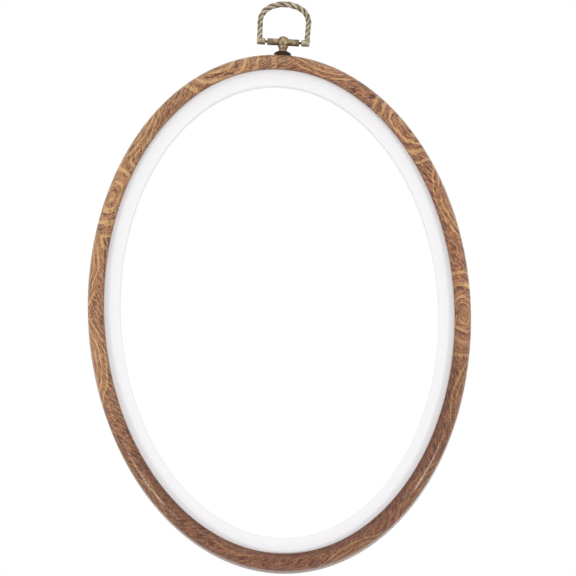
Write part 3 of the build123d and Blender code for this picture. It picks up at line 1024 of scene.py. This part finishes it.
def twist_rope(obj):
    """Extrudes the end face step by step, turning it and swelling it on the way."""
    step = rope_length / ROPE_STEPS
    radius = WIRE_LEG_RADIUS
    turned = 0.0
    pick(obj)
    bpy.ops.object.mode_set(mode="EDIT")
    bpy.ops.mesh.select_all(action="SELECT")
    for number in range(1, ROPE_STEPS + 1):
        crown = crown_at(number / ROPE_STEPS)
        groove_step = GROOVE_STEP_LEG + (GROOVE_STEP_TOP - GROOVE_STEP_LEG) * crown
        angle = 2 * math.pi * step / (STRANDS * groove_step)
        next_radius = wire_radius(crown)
        swell = next_radius / radius
        middle = (0, 0, step * number)
        bpy.ops.mesh.extrude_region_move(TRANSFORM_OT_translate={"value": (0, 0, step)})
        bpy.ops.transform.rotate(value=-angle, orient_axis="Z", center_override=middle)
        bpy.ops.transform.resize(value=(swell, swell, 1), center_override=middle)
        radius = next_radius
        turned += angle
    bpy.ops.mesh.select_all(action="SELECT")
    bpy.ops.mesh.normals_make_consistent(inside=False)
    leave_edit()
    return turned


def store_crests(obj):
    """1 on the strands' crests and 0 at the bottom of the grooves, for each point."""
    values = []
    for vertex in obj.data.vertices:
        radius = wire_radius(crown_at(vertex.co.z / rope_length))
        share = math.hypot(vertex.co.x, vertex.co.y) / radius
        values.append((share - GROOVE_SHARE) / (1 - GROOVE_SHARE))
    obj.data.attributes.new(CREST_NAME, "FLOAT", "POINT").data.foreach_set("value", values)


def bend_rope(obj):
    """Bends the straight rope along the outline with a curve modifier."""
    outline = bpy.data.curves.new("bail_outline", "CURVE")
    outline.dimensions = "3D"
    line = outline.splines.new("POLY")
    line.points.add(len(path_points) - 1)
    for point, (x, z) in zip(line.points, path_points):
        point.co = (x, 0, z, 1)
    guide = bpy.data.objects.new("bail_outline", outline)
    bpy.context.scene.collection.objects.link(guide)
    pick(obj)
    bend = obj.modifiers.new("bend", "CURVE")
    bend.object = guide
    bend.deform_axis = "POS_Z"
    bpy.ops.object.modifier_apply(modifier=bend.name)
    bpy.data.objects.remove(guide)


rope = start_section()
turns = twist_rope(rope) / (2 * math.pi)
store_crests(rope)
bend_rope(rope)
print("rope turns", round(turns, 2), "and", size_of(rope))

# %% [markdown]
# Each leg ends in a knuckle, a short round bar along the pivot with rounded rims, from which a thinner pin
# goes into the barrel. The rope rises out of the knuckle through a short standing collar. They are turned
# shapes too, so cylinders with bevelled rims do.

# %% Feet and pins
FOOT_START = 6.85 * MM
FOOT_END = 10.13 * MM
FOOT_RADIUS = 1.27 * MM
FOOT_EASE = 0.5 * MM
COLLAR_RADIUS = 1.2 * MM
COLLAR_LOW = 0.35 * MM
COLLAR_HIGH = 1.3 * MM
COLLAR_EASE = 0.15 * MM
PIN_RADIUS = 0.45 * MM
PIN_START = 5.5 * MM
PIN_END = FOOT_START + FOOT_EASE
FOOT_STEPS, COLLAR_STEPS = 4, 3  # faces over a rim's rounding
FOOT_TONE = 0.65  # as a crest is rubbed pale
PIN_TONE = 0.1
BAIL_SHARP_ANGLE = math.radians(40)


def round_rims(obj, axis, ease, steps):
    """Rounds the rims at both ends of a bar that runs along X (0) or Z (2)."""
    bpy.ops.object.mode_set(mode="EDIT")
    select_where(obj, "edges", lambda edge: abs(edge.verts[0].co[axis] - edge.verts[1].co[axis]) < ease)
    bpy.ops.mesh.bevel(offset=ease, segments=steps, profile=0.5)
    leave_edit()


def fittings(side):
    """The foot, pin and collar of one leg, each with the crest value that sets its tone."""
    foot = round_bar(FOOT_RADIUS, FOOT_END - FOOT_START, (side * (FOOT_START + FOOT_END) / 2, 0, 0))
    round_rims(foot, 0, FOOT_EASE, FOOT_STEPS)
    pin = round_bar(PIN_RADIUS, PIN_END - PIN_START, (side * (PIN_START + PIN_END) / 2, 0, 0))
    collar_place = (side * LEG_FOOT_X, 0, (COLLAR_LOW + COLLAR_HIGH) / 2)
    collar = round_bar(COLLAR_RADIUS, COLLAR_HIGH - COLLAR_LOW, collar_place, lying=False)
    round_rims(collar, 2, COLLAR_EASE, COLLAR_STEPS)
    for piece, tone in ((foot, FOOT_TONE), (pin, PIN_TONE), (collar, FOOT_TONE)):
        attribute = piece.data.attributes.new(CREST_NAME, "FLOAT", "POINT")
        attribute.data.foreach_set("value", [tone] * len(piece.data.vertices))
    return [foot, pin, collar]


rope_bail = join("rope_bail", rope, *fittings(-1), *fittings(1))
smooth(rope_bail, BAIL_SHARP_ANGLE)
put_in_place(rope_bail)
print(size_of(rope_bail))

# %% [markdown]
# Antique brass: cast, dipped until it goes brown, and rubbed so that the high places come up pale again.
# The bail's grooves keep the dark finish, and both castings vary in cloudy patches. The domed washer has a
# dark bronze lacquer, and the screw and its washer inside are plated with zinc.

# %% Brass, bronze and zinc
BAIL_PALE = "BFB49D"
BAIL_MID = "978A70"
POST_PALE = "AD9A7A"
POST_MID = "75654E"
BRASS_DARK = "261D13"
BRASS_CLOUD = {"Scale": 1 / (1.6 * MM), "Detail": 3.0}
BRASS_CLOUD_STEP = (0.35, 0.65)
BRASS_DENTS = 0.03 * MM
GROOVE_STEP = (0.12, 0.68)
BRONZE_DEEP = "20120A"
BRONZE_PALE = "382114"
BRONZE_CLOUD = {"Scale": 1 / (1.2 * MM)}
ZINC_DEEP = "8E8F90"
ZINC_PALE = "B9B9B6"
ZINC_CLOUD = {"Scale": 1 / (0.9 * MM), "Detail": 3.0}
ZINC_DULLNESS = (0.3, 0.7, 0.28, 0.45)


def antique_brass(name, pale_tone, mid_tone, grooved):
    """Cloudy brass; where there are grooves, they stay dark."""
    made, tree, shader = new_material(name)
    place = node(tree, "TexCoord", out="Object")
    cloud = node(tree, "TexNoise", {"Vector": place, **BRASS_CLOUD})
    share = node(tree, "MapRange", (cloud, *BRASS_CLOUD_STEP), **SOFT)
    tone = node(tree, "Mix", {FACTOR: share, A: colour(mid_tone), B: colour(pale_tone)}, **COLOUR_MIX)
    if grooved:
        crest = node(tree, "Attribute", out="Fac", attribute_name=CREST_NAME)
        rubbed = node(tree, "MapRange", (crest, *GROOVE_STEP), **SOFT)
        tone = node(tree, "Mix", {FACTOR: rubbed, A: colour(BRASS_DARK), B: tone}, **COLOUR_MIX)
    dents = node(tree, "Bump", {"Height": cloud, "Distance": BRASS_DENTS, "Strength": 0.6})
    fill(tree, shader, {"Base Color": tone, "Metallic": 0.75, "Roughness": 0.4, "Normal": dents})
    return made


def bronze_finish():
    """Dark lacquer, a little cloudy."""
    made, tree, shader = new_material("Dark bronze lacquer on steel")
    place = node(tree, "TexCoord", out="Object")
    cloud = node(tree, "TexNoise", {"Vector": place, **BRONZE_CLOUD})
    tone = node(tree, "Mix", {FACTOR: cloud, A: colour(BRONZE_DEEP), B: colour(BRONZE_PALE)}, **COLOUR_MIX)
    fill(tree, shader, {"Base Color": tone, "Specular IOR Level": 0.2, "Roughness": 0.42})
    return made


def zinc_plate():
    """Bright plating, cloudy in tone and gloss."""
    made, tree, shader = new_material("Zinc plated steel")
    place = node(tree, "TexCoord", out="Object")
    cloud = node(tree, "TexNoise", {"Vector": place, **ZINC_CLOUD})
    tone = node(tree, "Mix", {FACTOR: cloud, A: colour(ZINC_DEEP), B: colour(ZINC_PALE)}, **COLOUR_MIX)
    dullness = node(tree, "MapRange", (cloud, *ZINC_DULLNESS), **SOFT)
    fill(tree, shader, {"Base Color": tone, "Metallic": 1.0, "Roughness": dullness})
    return made


bail_brass = antique_brass("Antique brass, rubbed, dark in the grooves", BAIL_PALE, BAIL_MID, True)
post_brass = antique_brass("Antique brass, browned", POST_PALE, POST_MID, False)
rope_bail.data.materials.append(bail_brass)
brass_post.data.materials.append(post_brass)
domed_washer.data.materials.append(bronze_finish())
for node_name in ("backing_washer", "hanger_screw"):
    frame["nodes"][node_name].material_slots[0].material = zinc_plate()

for piece, body, solid, slot in (
    (domed_washer, "frame", "dome_washer", "dark_steel"),
    (brass_post, "hanger", "hanger_post", "post_brass"),
    (rope_bail, "bail", "bail", "bail_brass"),
):
    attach(piece, body)
    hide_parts(solid)
print("hanger dressed")

# %% End
print("end")
